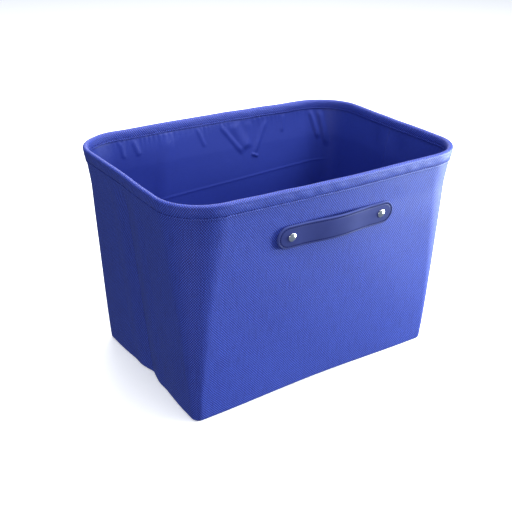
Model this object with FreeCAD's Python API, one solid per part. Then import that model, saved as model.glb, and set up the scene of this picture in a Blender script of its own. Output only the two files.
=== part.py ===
import FreeCAD, Part
import math
import os

# Rectangular fabric storage bin: a tapered shell of heavy woven fabric over card stiffeners, a loose
# lining, a sprung steel wire in a bound rim, two riveted leather strap handles and a loose base insert.
# Millimetres. Origin at the middle of the underside, +X along the long side, +Z up, front at -Y.

# Overall shell. The rim is measured over its binding, the base over the outer fabric.
RIM_LENGTH = 380.0
RIM_WIDTH = 264.0
RIM_CORNER_RADIUS = 56.0
BIN_HEIGHT = 254.0
BASE_LENGTH = 328.0
BASE_WIDTH = 214.0
BASE_CORNER_RADIUS = 10.0

# Below the rim the walls lean out evenly. Over the top stretch they flare out further to meet the wire.
FLARE = 3.5
FLARE_DEPTH = 38.0

# Layers of the wall, from the outside in.
OUTER_THICKNESS = 1.0
LAYER_GAP = 0.2
WALL_BOARD_THICKNESS = 1.5
RIVET_WASHER_THICKNESS = 0.4
RIVET_FLANGE_THICKNESS = 0.6
LINING_CLEARANCE = 0.3
LINING_THICKNESS = 0.4

# Rim.
BINDING_THICKNESS = 0.9
BINDING_GAP = 0.1
BINDING_OUTSIDE_DEPTH = 16.0
BINDING_INSIDE_DEPTH = 11.0
WIRE_RADIUS = 1.5
FERRULE_WALL = 0.5
FERRULE_BORE_CLEARANCE = 0.05
FERRULE_LENGTH = 28.0
WIRE_END_GAP = 0.6

# Wall boards: how far each stands off the rim binding, the base, the corners and the side seams.
BOARD_BELOW_BINDING = 3.0
BOARD_ABOVE_BASE = 5.0
BOARD_TO_CORNER = 2.0
BOARD_TO_SEAM = 11.0

# Side seams, where the front and back outer panels turn in and are sewn together.
SEAM_HALF_GAP = 0.2
SEAM_ALLOWANCE = 9.0

# Base insert: a board wrapped in lining fabric, with the fabric's edge turned under.
INSERT_SIDE_CLEARANCE = 4.0
INSERT_END_CLEARANCE = 9.0
INSERT_FLOOR_CLEARANCE = 0.3
INSERT_COVER_THICKNESS = 0.5
INSERT_BOARD_THICKNESS = 2.5
INSERT_TURN_UNDER = 22.0
INSERT_CORNER_RADIUS = 6.0

# Strap handles, centred on the front and back walls.
STRAP_LENGTH = 152.0
STRAP_WIDTH = 26.0
STRAP_FACE_THICKNESS = 1.5
STRAP_BACKING_THICKNESS = 1.1
STRAP_END_FLAT = 0.02
STRAP_BELOW_RIM = 54.5
STRAP_ARCH_HEIGHT = 4.0

# Two-part tubular rivets through strap, fabric and board.
RIVET_SPACING = 118.0
RIVET_HEAD_RADIUS = 4.7
RIVET_HEAD_EDGE = 0.6
RIVET_DOME_HEIGHT = 1.8
RIVET_TUBE_RADIUS = 1.9
RIVET_PIN_RADIUS = 1.3
RIVET_PIN_CLEARANCE = 0.03
RIVET_HOLE_CLEARANCE = 0.15
RIVET_WASHER_RADIUS = 6.5
RIVET_TO_ARCH = 6.3

# Distances inwards from the outer fabric's outer face, worked out from the layers above.
BOARD_OUT = OUTER_THICKNESS + LAYER_GAP
BOARD_IN = BOARD_OUT + WALL_BOARD_THICKNESS
WASHER_IN = BOARD_IN + RIVET_WASHER_THICKNESS
FLANGE_IN = WASHER_IN + RIVET_FLANGE_THICKNESS
LINING_OUT = FLANGE_IN + LINING_CLEARANCE
LINING_IN = LINING_OUT + LINING_THICKNESS
BINDING_LEG_OUT = LINING_IN + BINDING_GAP
BINDING_LEG_IN = BINDING_LEG_OUT + BINDING_THICKNESS

# The binding rolls over the wire as a half tube that joins its two legs.
ROLL_RADIUS = (BINDING_LEG_IN + BINDING_THICKNESS) / 2
ROLL_BORE_RADIUS = ROLL_RADIUS - BINDING_THICKNESS
ROLL_CENTRE_Z = BIN_HEIGHT - ROLL_RADIUS
ROLL_CENTRE_INSET = ROLL_BORE_RADIUS
PANEL_TOP_Z = BIN_HEIGHT - 2 * ROLL_RADIUS

SHELL_TOP_LENGTH = RIM_LENGTH - 2 * BINDING_THICKNESS
SHELL_TOP_WIDTH = RIM_WIDTH - 2 * BINDING_THICKNESS
SHELL_TOP_RADIUS = RIM_CORNER_RADIUS - BINDING_THICKNESS

LINING_FLOOR_Z = OUTER_THICKNESS + LAYER_GAP
LINING_WALL_Z = LINING_FLOOR_Z + LINING_THICKNESS
INSERT_Z = LINING_WALL_Z + INSERT_FLOOR_CLEARANCE
BOARD_TOP_Z = BIN_HEIGHT - BINDING_OUTSIDE_DEPTH - BOARD_BELOW_BINDING
BOARD_BOTTOM_Z = BOARD_ABOVE_BASE

FLARE_Z = BIN_HEIGHT - FLARE_DEPTH
LONG_WALL_TILT = math.atan2((SHELL_TOP_WIDTH - BASE_WIDTH) / 2 - FLARE, BIN_HEIGHT)
STRAP_ARCH_HALF_LENGTH = RIVET_SPACING / 2 - RIVET_HEAD_RADIUS - RIVET_TO_ARCH
STRAP_THICKNESS = STRAP_FACE_THICKNESS + STRAP_BACKING_THICKNESS
RIVET_HOLE_RADIUS = RIVET_TUBE_RADIUS + RIVET_HOLE_CLEARANCE
FAR = 2 * RIM_LENGTH

Vector = FreeCAD.Vector


def tapered(base, rim, z):
    """The value at height z of a size that changes evenly from the base to the rim."""
    return base + (rim - base) * z / BIN_HEIGHT


def shell_length(z):
    """The outer fabric's length at height z, flare included."""
    return tapered(BASE_LENGTH, SHELL_TOP_LENGTH - 2 * FLARE, z) + 2 * flare_at(z)


def shell_width(z):
    """The outer fabric's width at height z, flare included."""
    return tapered(BASE_WIDTH, SHELL_TOP_WIDTH - 2 * FLARE, z) + 2 * flare_at(z)


def shell_corner(z):
    """The radius of the outer fabric's corners at height z."""
    return tapered(BASE_CORNER_RADIUS, SHELL_TOP_RADIUS, z)


def flare_at(z):
    """How far each wall stands out of its even slope at height z."""
    return FLARE * max(0.0, z - FLARE_Z) / FLARE_DEPTH


def rounded_rectangle(length, width, radius, z):
    """A closed wire of four lines and four quarter arcs, centred on the Z axis."""
    edges = []
    x, y = length / 2, width / 2
    corners = ((x, -y, -90), (x, y, 0), (-x, y, 90), (-x, -y, 180))
    arcs = []
    for cx, cy, start in corners:
        centre = Vector(cx - math.copysign(radius, cx), cy - math.copysign(radius, cy), z)
        points = []
        for turn in (0, 45, 90):
            angle = math.radians(start + turn)
            points.append(centre + Vector(radius * math.cos(angle), radius * math.sin(angle), 0))
        arcs.append(points)
    for points, following in zip(arcs, arcs[1:] + arcs[:1]):
        edges.append(Part.Arc(*points).toShape())
        edges.append(Part.LineSegment(points[2], following[0]).toShape())
    return Part.Wire(edges)


def shell_section(z, inset):
    """The outline of the tapered shell at height z, moved inwards by inset."""
    return rounded_rectangle(
        shell_length(z) - 2 * inset, shell_width(z) - 2 * inset, shell_corner(z) - inset, z
    )


def filled(low_z, high_z, inset):
    """The whole inside of the shell between two heights, moved inwards by inset."""
    heights = [low_z, FLARE_Z, high_z] if low_z < FLARE_Z < high_z else [low_z, high_z]
    return Part.makeLoft([shell_section(z, inset) for z in heights], True, True)


def layer(low_z, high_z, outside, inside):
    """One layer of the wall all the way round, between two insets and two heights."""
    return filled(low_z, high_z, outside).cut(filled(low_z, high_z, inside))


def box(low, high):
    """A box from its lowest to its highest corner."""
    size = [b - a for a, b in zip(low, high)]
    return Part.makeBox(*size, Vector(*low))


def front_half(shape, from_seam):
    """The part of shape on the front side of the side seams, from_seam short of them."""
    return shape.common(box((-FAR, -FAR, -FAR), (FAR, -from_seam, FAR)))


def turned(shape):
    """A copy of shape turned half round the Z axis, so a front piece becomes the back one."""
    copy = shape.copy()
    copy.rotate(Vector(0, 0, 0), Vector(0, 0, 1), 180)
    return copy


def on_front_wall(shape):
    """Places a shape drawn flat (x along the wall, y up it, z out of it) on the front wall,
    with its origin where the middle of the strap handle lies on the outer fabric."""
    z = BIN_HEIGHT - STRAP_BELOW_RIM * math.cos(LONG_WALL_TILT)
    y = -shell_width(z) / 2
    turn = FreeCAD.Rotation(Vector(1, 0, 0), 90 + math.degrees(LONG_WALL_TILT))
    copy = shape.copy()
    copy.Placement = FreeCAD.Placement(Vector(0, y, z), turn).multiply(copy.Placement)
    return copy


def depth(inset):
    """How deep a wall inset, which is measured level, lies square to the front wall."""
    return inset * math.cos(LONG_WALL_TILT)


def rivet_cylinder(radius, low, high):
    """Two upright cylinders where the rivets go through a flat-drawn strap."""
    pair = []
    for side in (-1, 1):
        centre = Vector(side * RIVET_SPACING / 2, 0, low)
        pair.append(Part.makeCylinder(radius, high - low, centre))
    return Part.makeCompound(pair)


def with_rivet_holes(shape):
    """A front wall layer with clearance holes for the two rivets."""
    holes = on_front_wall(rivet_cylinder(RIVET_HOLE_RADIUS, -2 * LINING_IN, 2 * LINING_IN))
    for hole in holes.Solids:
        shape = shape.cut(hole)
    return shape


# Outer fabric


def outer_front_panel():
    """Front wall and the near half of each side, with its seam allowances turned in at the side seams."""
    skin = layer(0, PANEL_TOP_Z, 0, OUTER_THICKNESS)
    panel = front_half(skin, SEAM_HALF_GAP)
    web = layer(BOARD_BOTTOM_Z, BOARD_TOP_Z, 0, BOARD_OUT + OUTER_THICKNESS)
    allowance = layer(BOARD_BOTTOM_Z, BOARD_TOP_Z, BOARD_OUT, BOARD_OUT + OUTER_THICKNESS)
    web_reach = SEAM_HALF_GAP + OUTER_THICKNESS
    web = front_half(web, SEAM_HALF_GAP).common(box((-FAR, -web_reach, -FAR), (FAR, 0, FAR)))
    allowance_reach = box((-FAR, -SEAM_ALLOWANCE, -FAR), (FAR, 0, FAR))
    allowance = front_half(allowance, SEAM_HALF_GAP).common(allowance_reach)
    return with_rivet_holes(panel).fuse([web, allowance])


def outer_base_panel():
    """The underside, sewn in between the wall panels."""
    return filled(0, OUTER_THICKNESS, OUTER_THICKNESS)


# Lining


def lining_front_panel():
    """Front half of the lining's walls."""
    return front_half(layer(LINING_WALL_Z, PANEL_TOP_Z, LINING_OUT, LINING_IN), SEAM_HALF_GAP)


def lining_base_panel():
    """The lining's floor."""
    return filled(LINING_FLOOR_Z, LINING_WALL_Z, LINING_OUT)


# Stiffeners


def flat_run(z, along_x):
    """Half the length of a wall's flat run between its corner rounds at height z."""
    size = shell_length(z) if along_x else shell_width(z)
    return size / 2 - shell_corner(z) - BOARD_TO_CORNER


def board_blank():
    """The stiffener layer all the way round, before it is cut into boards."""
    return layer(BOARD_BOTTOM_Z, BOARD_TOP_Z, BOARD_OUT, BOARD_IN)


def four_sided(corners, direction):
    """A prism from four corner points, carried along direction."""
    face = Part.Face(Part.makePolygon([*corners, corners[0]]))
    return face.extrude(direction)


def front_board():
    """Card behind the front wall, a trapezium that stops short of the corner rounds."""
    low, high = (flat_run(z, True) for z in (BOARD_BOTTOM_Z, BOARD_TOP_Z))
    corners = [
        Vector(-low, 0, BOARD_BOTTOM_Z),
        Vector(low, 0, BOARD_BOTTOM_Z),
        Vector(high, 0, BOARD_TOP_Z),
        Vector(-high, 0, BOARD_TOP_Z),
    ]
    return with_rivet_holes(board_blank().common(four_sided(corners, Vector(0, -FAR, 0))))


def left_front_board():
    """Card behind the near half of the left wall, between the corner round and the side seam."""
    low, high = (flat_run(z, False) for z in (BOARD_BOTTOM_Z, BOARD_TOP_Z))
    corners = [
        Vector(0, -BOARD_TO_SEAM, BOARD_BOTTOM_Z),
        Vector(0, -low, BOARD_BOTTOM_Z),
        Vector(0, -high, BOARD_TOP_Z),
        Vector(0, -BOARD_TO_SEAM, BOARD_TOP_Z),
    ]
    return board_blank().common(four_sided(corners, Vector(-FAR, 0, 0)))


# Rim


def wire_line():
    """The rim wire's centre line: level, inside the binding's roll."""
    return shell_section(ROLL_CENTRE_Z, ROLL_CENTRE_INSET)


def ring_round_rim(radius):
    """A closed round tube of that radius along the rim wire's centre line."""
    path = wire_line()
    start = path.Edges[0].valueAt(path.Edges[0].FirstParameter)
    circle = Part.Wire(Part.makeCircle(radius, start, Vector(1, 0, 0)))
    return path.makePipeShell([circle], True, True)


def rim_binding():
    """Fabric strip folded over the wire, with one leg down each side of the wall."""
    roll = ring_round_rim(ROLL_RADIUS).cut(ring_round_rim(ROLL_BORE_RADIUS))
    roll = roll.common(box((-FAR, -FAR, ROLL_CENTRE_Z), (FAR, FAR, BIN_HEIGHT + ROLL_RADIUS)))
    outside = layer(BIN_HEIGHT - BINDING_OUTSIDE_DEPTH, ROLL_CENTRE_Z, -BINDING_THICKNESS, 0)
    inside = layer(BIN_HEIGHT - BINDING_INSIDE_DEPTH, ROLL_CENTRE_Z, BINDING_LEG_OUT, BINDING_LEG_IN)
    return roll.fuse([outside, inside])


def wire_gap(half_length):
    """A box round the wire at the middle of its back run, as long as twice half_length."""
    y = shell_width(ROLL_CENTRE_Z) / 2 - ROLL_CENTRE_INSET
    return box((-half_length, y - ROLL_RADIUS, 0), (half_length, y + ROLL_RADIUS, FAR))


def rim_wire():
    """Sprung steel wire hoop, with its two ends meeting at the back."""
    return ring_round_rim(WIRE_RADIUS).cut(wire_gap(WIRE_END_GAP / 2))


def rim_ferrule():
    """Crimp sleeve that joins the wire's two ends."""
    bore = WIRE_RADIUS + FERRULE_BORE_CLEARANCE
    y = shell_width(ROLL_CENTRE_Z) / 2 - ROLL_CENTRE_INSET
    start = Vector(-FERRULE_LENGTH / 2, y, ROLL_CENTRE_Z)
    along = Vector(1, 0, 0)
    sleeve = Part.makeCylinder(bore + FERRULE_WALL, FERRULE_LENGTH, start, along)
    return sleeve.cut(Part.makeCylinder(bore, FERRULE_LENGTH, start, along))


# Base insert


def insert_half_sizes():
    """Half the insert's length and width. The side walls fold in at their middle, so the ends get more room."""
    half_length = BASE_LENGTH / 2 - LINING_IN - INSERT_END_CLEARANCE
    half_width = BASE_WIDTH / 2 - LINING_IN - INSERT_SIDE_CLEARANCE
    return half_length, half_width


def insert_block(low_z, high_z, inset):
    """A flat rounded slab that fits the floor of the bin, moved inwards by inset."""
    half_length, half_width = insert_half_sizes()
    outline = rounded_rectangle(
        2 * (half_length - inset), 2 * (half_width - inset), INSERT_CORNER_RADIUS - inset, low_z
    )
    return Part.Face(outline).extrude(Vector(0, 0, high_z - low_z))


def insert_board():
    """Stiff board that keeps the floor flat."""
    low = INSERT_Z + INSERT_COVER_THICKNESS
    return insert_block(low, low + INSERT_BOARD_THICKNESS, INSERT_COVER_THICKNESS)


def insert_cover():
    """Fabric wrapped over the board, with its edge turned under it all round."""
    top = INSERT_Z + INSERT_BOARD_THICKNESS + 2 * INSERT_COVER_THICKNESS
    low = INSERT_Z + INSERT_COVER_THICKNESS
    wrap = insert_block(INSERT_Z, top, 0).cut(insert_board())
    x, y = (half - INSERT_TURN_UNDER for half in insert_half_sizes())
    return wrap.cut(box((-x, -y, 0), (x, y, low)))


# Strap handles


def strap_band(low, high):
    """The strap's side view between two heights over the wall, carried across its width.
    Each half rises from a flat foot through two equal arcs to a level crown."""
    run, rise = STRAP_ARCH_HALF_LENGTH, STRAP_ARCH_HEIGHT
    radius = (run * run + rise * rise) / (4 * rise)
    lean = math.asin(run / 2 / radius)
    end = STRAP_LENGTH / 2

    def foot(side, angle, over):
        reach = radius - over
        return Vector(
            side * (run - reach * math.sin(angle)), 0, radius - reach * math.cos(angle)
        )

    def crown(angle, over):
        reach = radius + over
        return Vector(reach * math.sin(angle), 0, rise - radius + reach * math.cos(angle))

    def line_over(over):
        return [
            Part.LineSegment(Vector(-end, 0, over), foot(-1, 0, over)),
            Part.Arc(foot(-1, 0, over), foot(-1, lean / 2, over), foot(-1, lean, over)),
            Part.Arc(crown(-lean, over), crown(0, over), crown(lean, over)),
            Part.Arc(foot(1, lean, over), foot(1, lean / 2, over), foot(1, 0, over)),
            Part.LineSegment(foot(1, 0, over), Vector(end, 0, over)),
        ]

    sides = [Part.LineSegment(Vector(x, 0, low), Vector(x, 0, high)) for x in (-end, end)]
    curves = line_over(low) + line_over(high) + sides
    outline = Part.Wire(Part.sortEdges([curve.toShape() for curve in curves])[0])
    band = Part.Face(outline).extrude(Vector(0, STRAP_WIDTH, 0))
    band.translate(Vector(0, -STRAP_WIDTH / 2, 0))
    return band


def strap_outline():
    """A tall prism on the strap's outline, a long oval with fully round ends."""
    radius = STRAP_WIDTH / 2 - STRAP_END_FLAT / 2
    outline = rounded_rectangle(STRAP_LENGTH, STRAP_WIDTH, radius, -STRAP_LENGTH)
    return Part.Face(outline).extrude(Vector(0, 0, 2 * STRAP_LENGTH))


def strap_layer(low, high):
    """One leather layer of the strap, with its rivet holes."""
    strap = strap_band(low, high).common(strap_outline())
    return strap.cut(rivet_cylinder(RIVET_HOLE_RADIUS, -STRAP_LENGTH, STRAP_LENGTH))


def rivet_caps():
    """Domed heads on the strap's face, each with a tube that runs through to the washer."""
    top = STRAP_THICKNESS
    bottom = -depth(WASHER_IN)
    sphere = (RIVET_HEAD_RADIUS**2 + RIVET_DOME_HEIGHT**2) / (2 * RIVET_DOME_HEIGHT)
    caps = []
    for side in (-1, 1):
        x = side * RIVET_SPACING / 2
        edge = Part.makeCylinder(RIVET_HEAD_RADIUS, RIVET_HEAD_EDGE, Vector(x, 0, top))
        centre = Vector(x, 0, top + RIVET_HEAD_EDGE + RIVET_DOME_HEIGHT - sphere)
        above = Part.makeCylinder(RIVET_HEAD_RADIUS, sphere, Vector(x, 0, top + RIVET_HEAD_EDGE))
        dome = Part.makeSphere(sphere, centre).common(above)
        tube = Part.makeCylinder(RIVET_TUBE_RADIUS, top - bottom, Vector(x, 0, bottom))
        bore_radius = RIVET_PIN_RADIUS + RIVET_PIN_CLEARANCE
        bore = Part.makeCylinder(bore_radius, top - bottom, Vector(x, 0, bottom))
        caps.append(edge.fuse([dome, tube]).cut(bore).removeSplitter())
    return Part.makeCompound(caps)


def rivet_pins():
    """Flat heads behind the board, each with a pin pressed up into its cap's tube."""
    top = STRAP_THICKNESS - RIVET_HEAD_EDGE
    pins = []
    for side in (-1, 1):
        x = side * RIVET_SPACING / 2
        low = -depth(FLANGE_IN)
        head = Part.makeCylinder(RIVET_HEAD_RADIUS, depth(RIVET_FLANGE_THICKNESS), Vector(x, 0, low))
        pin = Part.makeCylinder(RIVET_PIN_RADIUS, top - low, Vector(x, 0, low))
        pins.append(head.fuse(pin).removeSplitter())
    return Part.makeCompound(pins)


def rivet_washers():
    """Washers between the board and the pins' heads."""
    low = -depth(WASHER_IN)
    high = -depth(BOARD_IN)
    washers = rivet_cylinder(RIVET_WASHER_RADIUS, low, high)
    return washers.cut(rivet_cylinder(RIVET_HOLE_RADIUS, low, high))


def both_walls(shape):
    """A flat-drawn piece on the front wall, with its twin on the back wall."""
    front = on_front_wall(shape)
    return Part.makeCompound(front.Solids + turned(front).Solids)


def mirrored(shape, normal):
    """A copy of shape mirrored through the plane at the origin with that normal."""
    return shape.mirror(Vector(0, 0, 0), normal)


def build():
    """Every piece by name."""
    side, ahead = Vector(1, 0, 0), Vector(0, 1, 0)
    outer_front = outer_front_panel()
    lining_front = lining_front_panel()
    board_front = front_board()
    board_left = left_front_board()
    strap_backing = on_front_wall(strap_layer(0, STRAP_BACKING_THICKNESS))
    strap_face = on_front_wall(strap_layer(STRAP_BACKING_THICKNESS, STRAP_THICKNESS))
    return {
        "outer_front_panel": outer_front,
        "outer_back_panel": turned(outer_front),
        "outer_base_panel": outer_base_panel(),
        "lining_front_panel": lining_front,
        "lining_back_panel": turned(lining_front),
        "lining_base_panel": lining_base_panel(),
        "front_board": board_front,
        "back_board": turned(board_front),
        "left_front_board": board_left,
        "left_back_board": mirrored(board_left, ahead),
        "right_front_board": mirrored(board_left, side),
        "right_back_board": turned(board_left),
        "rim_binding": rim_binding(),
        "rim_wire": rim_wire(),
        "rim_ferrule": rim_ferrule(),
        "insert_board": insert_board(),
        "insert_cover": insert_cover(),
        "front_strap_backing": strap_backing,
        "front_strap_face": strap_face,
        "back_strap_backing": turned(strap_backing),
        "back_strap_face": turned(strap_face),
        "rivet_caps": both_walls(rivet_caps()),
        "rivet_pins": both_walls(rivet_pins()),
        "rivet_washers": both_walls(rivet_washers()),
    }


def main():
    """Builds every piece and writes each to its own STEP file."""
    os.makedirs("parts", exist_ok=True)
    for name, shape in build().items():
        solids = shape.Solids
        if not solids or not shape.isValid():
            raise ValueError(f"{name} is not a valid solid")
        shape.exportStep(os.path.join("parts", name + ".step"))
        volume = sum(solid.Volume for solid in solids)
        print(f"{name}: {len(solids)} solid(s), {volume / 1000:.2f} cm3")


main()
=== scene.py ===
import math

import bmesh
import bpy
import numpy as np
from bpy.props import FloatProperty, FloatVectorProperty, PointerProperty
from mathutils import Matrix, Vector


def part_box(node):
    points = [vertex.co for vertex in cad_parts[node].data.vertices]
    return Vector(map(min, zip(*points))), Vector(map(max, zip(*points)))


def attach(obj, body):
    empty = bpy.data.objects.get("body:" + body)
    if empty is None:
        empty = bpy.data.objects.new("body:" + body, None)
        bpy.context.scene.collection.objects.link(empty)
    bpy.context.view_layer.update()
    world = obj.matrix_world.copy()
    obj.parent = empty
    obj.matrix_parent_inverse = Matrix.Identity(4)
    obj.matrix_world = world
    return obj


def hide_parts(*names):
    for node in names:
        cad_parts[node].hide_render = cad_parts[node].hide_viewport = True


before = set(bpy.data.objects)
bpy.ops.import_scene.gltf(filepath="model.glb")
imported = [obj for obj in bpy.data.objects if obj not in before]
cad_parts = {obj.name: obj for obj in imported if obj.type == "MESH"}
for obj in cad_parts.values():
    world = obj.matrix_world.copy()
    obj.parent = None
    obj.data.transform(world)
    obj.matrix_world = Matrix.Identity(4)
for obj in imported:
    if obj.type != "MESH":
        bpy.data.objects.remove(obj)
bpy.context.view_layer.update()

bl_info = {
    "name": "Fabric storage bin",
    "version": (1, 0, 0),
    "blender": (4, 5, 0),
    "location": "View3D > Sidebar > Storage Bin",
    "description": "Woven fabric, lining, leather and stitching around a packed storage bin",
    "category": "Add Mesh",
}


# Places from the frame, in metres: +X along the bin, +Y to its back, +Z up


def corners(node):
    """A CAD node's lowest and highest corners as arrays."""
    return [np.array(corner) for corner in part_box(node)]


MM = 0.001
BINDING_LOW, BINDING_HIGH = corners("rim_binding")
BASE_LOW, BASE_HIGH = corners("outer_base_panel")
PANEL_HIGH = corners("outer_front_panel")[1]
LINING_FLOOR_LOW, LINING_FLOOR_HIGH = corners("lining_base_panel")
BOARD_LOW, BOARD_HIGH = corners("front_board")
INSERT_LOW, INSERT_HIGH = corners("insert_cover")
INSERT_BOARD_LOW, INSERT_BOARD_HIGH = corners("insert_board")
WIRE_LOW, WIRE_HIGH = corners("rim_wire")
FERRULE_LOW, FERRULE_HIGH = corners("rim_ferrule")
STRAP_LOW, STRAP_HIGH = corners("front_strap_face")
BACKING_LOW, BACKING_HIGH = corners("front_strap_backing")
CAPS_LOW, CAPS_HIGH = corners("rivet_caps")

HEIGHT = BINDING_HIGH[2]
FABRIC = BASE_HIGH[2] - BASE_LOW[2]
BASE_HALF = BASE_HIGH[:2] + FABRIC
WIRE_RADIUS = (WIRE_HIGH[2] - WIRE_LOW[2]) / 2
WIRE_Z = (WIRE_HIGH[2] + WIRE_LOW[2]) / 2
ROLL_RADIUS = HEIGHT - WIRE_Z
BINDING = 0.9 * MM
BINDING_GAP = 0.1 * MM
RIM_HALF = WIRE_HIGH[:2] - WIRE_RADIUS + ROLL_RADIUS - BINDING
LEG_INSET = 2 * ROLL_RADIUS - 2 * BINDING
LINING = LINING_FLOOR_HIGH[2] - LINING_FLOOR_LOW[2]
LINING_INSET = LEG_INSET - BINDING_GAP - LINING
BOARD_INSET = 1.2 * MM
BOARD = 1.5 * MM
INSIDE_DEPTH = 11 * MM
POLE_GAP = 0.01 * MM
CAP_RADIUS = (CAPS_HIGH[2] - CAPS_LOW[2]) / 2
RIVET_X = CAPS_HIGH[0] - CAP_RADIUS
STRAP_HALF = (STRAP_HIGH[0] - STRAP_LOW[0]) / 2
STRAP_Z = (BACKING_LOW[2] + BACKING_HIGH[2]) / 2
STRAP_WIDTH = 26 * MM
STRAP_FACE = 1.5 * MM
STRAP_BACKING = 1.1 * MM
BIN = "bin"
INSERT = "base_insert"


def length_setting(name, description, default):
    """A length that can be set, its default in millimetres."""
    return FloatProperty(name=name, description=description, default=default * MM, subtype="DISTANCE")


def colour_setting(name, description, default):
    """A colour that can be set."""
    return FloatVectorProperty(name=name, description=description, default=default, subtype="COLOR")


class BinSizes(bpy.types.PropertyGroup):
    """The sizes that shape the cloth and can be set by themselves."""

    rim_corner: length_setting("Rim corner", "Corner radius at the rim", 55)
    base_corner: length_setting("Base corner", "Corner radius at the base", 9)
    flare: length_setting("Flare", "How far the rim stands out of the slope", 3.5)
    flare_depth: length_setting("Flare depth", "How far below the rim the flare starts", 46)
    rim_bow: length_setting("Rim bow", "How far the long walls bow out at the rim", 4)
    base_bow: length_setting("Base bow", "How far the long walls bow in at the base", 2.5)
    crease: length_setting("Crease", "How deep the side walls fold in at the base", 4.2)
    stitch_pitch: length_setting("Stitch pitch", "Distance between stitches", 3.1)
    arch: length_setting("Strap arch", "How far the strap stands off the wall", 2.9)
    droop: length_setting("Front droop", "How far the front of the rim sinks", 2.4)
    yarn: length_setting("Yarn", "Spacing of the upright yarns", 1.3)
    pick: length_setting("Pick", "Spacing of the level yarns", 1.55)


class BinColours(bpy.types.PropertyGroup):
    """The colours of the cloth, leather and thread."""

    pale_yarn: colour_setting("Pale yarn", "Palest yarn of the outer cloth", (0.050, 0.098, 0.58))
    deep_yarn: colour_setting("Deep yarn", "Darkest yarn of the outer cloth", (0.005, 0.009, 0.15))
    lining: colour_setting("Lining", "Lining cloth", (0.022, 0.041, 0.275))
    leather: colour_setting("Leather", "Strap leather", (0.030, 0.040, 0.185))
    leather_edge: colour_setting("Leather edge", "Cut edge of the strap", (0.070, 0.095, 0.32))
    thread: colour_setting("Thread", "Sewing thread", (0.006, 0.009, 0.085))
    card: colour_setting("Card", "Stiffener card", (0.26, 0.19, 0.12))


def sizes():
    """The size properties of this scene."""
    return bpy.context.scene.bin_sizes


def colours():
    """The colour properties of this scene."""
    return bpy.context.scene.bin_colours


# Small functions that the shapes are made of


def smooth(t):
    """An even ease from 0 to 1."""
    t = np.clip(t, 0, 1)
    return t * t * (3 - 2 * t)


def hump(t, width):
    """A round hump, 1 at t = 0 and 0 from width on either side."""
    return 0.5 + 0.5 * np.cos(np.pi * np.clip(t / width, -1, 1))


def fold(x, z, start, end, width, depth):
    """A soft fold along the line from start to end: a hump across it that fades at both ends."""
    sx, sz = start
    dx, dz = end[0] - sx, end[1] - sz
    length = math.hypot(dx, dz)
    along = ((x - sx) * dx + (z - sz) * dz) / length**2
    across = ((x - sx) * dz - (z - sz) * dx) / length
    ends = smooth(along / 0.25 + 0.4) * smooth((1 - along) / 0.25 + 0.4)
    return depth * hump(across, width) * ends


# The wall as a surface


# Shares of the way round the front half where its runs meet: side, arc, front, arc, side
RUNS = np.array([0.0, 0.128, 0.276, 0.724, 0.872, 1.0])
FLARE_POWER = 1.2
CORNER_POWER = 1.3
CREASE_TIP = 1.2 * MM
CREASE_REACH = 6 * MM
CREASE_AT_RIM, CREASE_ADDED_AT_FOOT = 1.6 * MM, 1.0 * MM
HOLLOW_REACH, HOLLOW_ADDED_AT_FOOT = 55 * MM, 30 * MM
HOLLOW_AT_RIM = 0.9 * MM
RIDGE, RIDGE_AT, RIDGE_REACH = 1.3 * MM, 22 * MM, 18 * MM
RIPPLE = 0.22 * MM
NOTCH, NOTCH_REACH = 1.6 * MM, 30 * MM
FOOT_ARCH, FOOT_ARCH_SHARE = 1.0 * MM, 0.8
FOOT_BAND = 30 * MM


def wall_half(z, axis):
    """Half the outer cloth's length (axis 0) or width (axis 1) at height z: an even slope, and a
    flare under the rim that grows as a power of the height above its start."""
    flare, depth = sizes().flare, sizes().flare_depth
    slope = BASE_HALF[axis] + (RIM_HALF[axis] - flare - BASE_HALF[axis]) * z / HEIGHT
    return slope + flare * np.clip((z - HEIGHT + depth) / depth, 0, 1.1) ** FLARE_POWER


def corner_radius(z):
    """The corner's radius, which grows from the base to the rim as a power of the height."""
    s = sizes()
    grown = np.clip(z / HEIGHT, 0, 1.05) ** CORNER_POWER
    return s.base_corner + (s.rim_corner - s.base_corner) * grown


def long_bow(x, z):
    """How far a long wall stands out of the straight at x: in at the middle of its foot, and in at
    the ends of its rim."""
    s = sizes()
    t = np.clip(z / HEIGHT, 0, 1)
    reach = wall_half(z, 0) - 0.5 * corner_radius(z)
    middle = hump(x, reach)
    return -s.base_bow * (1 - t) * middle - s.rim_bow * t * (1 - middle)


def side_fold(y, z):
    """How far a side wall folds in: a sharp V down its middle within a broad hollow that deepens to
    the foot, and a low ridge on either side of it."""
    down = 1 - np.clip(z / HEIGHT, 0, 1)
    below_rim = smooth((PANEL_HIGH[2] - 4 * MM - z) / (26 * MM))
    near = np.exp(-np.sqrt(y**2 + CREASE_TIP**2) / CREASE_REACH)
    sharp = near * (CREASE_AT_RIM + CREASE_ADDED_AT_FOOT * down) * below_rim
    sunk = HOLLOW_AT_RIM + (sizes().crease - HOLLOW_AT_RIM) * down**1.2
    hollow = hump(y, HOLLOW_REACH + HOLLOW_ADDED_AT_FOOT * down) * sunk
    ridge = hump(np.abs(y) - RIDGE_AT, RIDGE_REACH) * RIDGE * below_rim
    return sharp + hollow - ridge


def ripple(x, y, z):
    """The gentle unevenness of hand-filled cloth: three slow waves of under half a millimetre."""
    return RIPPLE * (
        np.sin(x / 0.041 + 1.7 * np.sin(z / 0.055))
        + 0.7 * np.sin(z / 0.033 + 1.3 * np.sin((x + y) / 0.060))
        + 0.5 * np.sin((x - y) / 0.019 + z / 0.027)
    ) * np.sin(np.pi * np.clip(z / HEIGHT, 0, 1))


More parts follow.
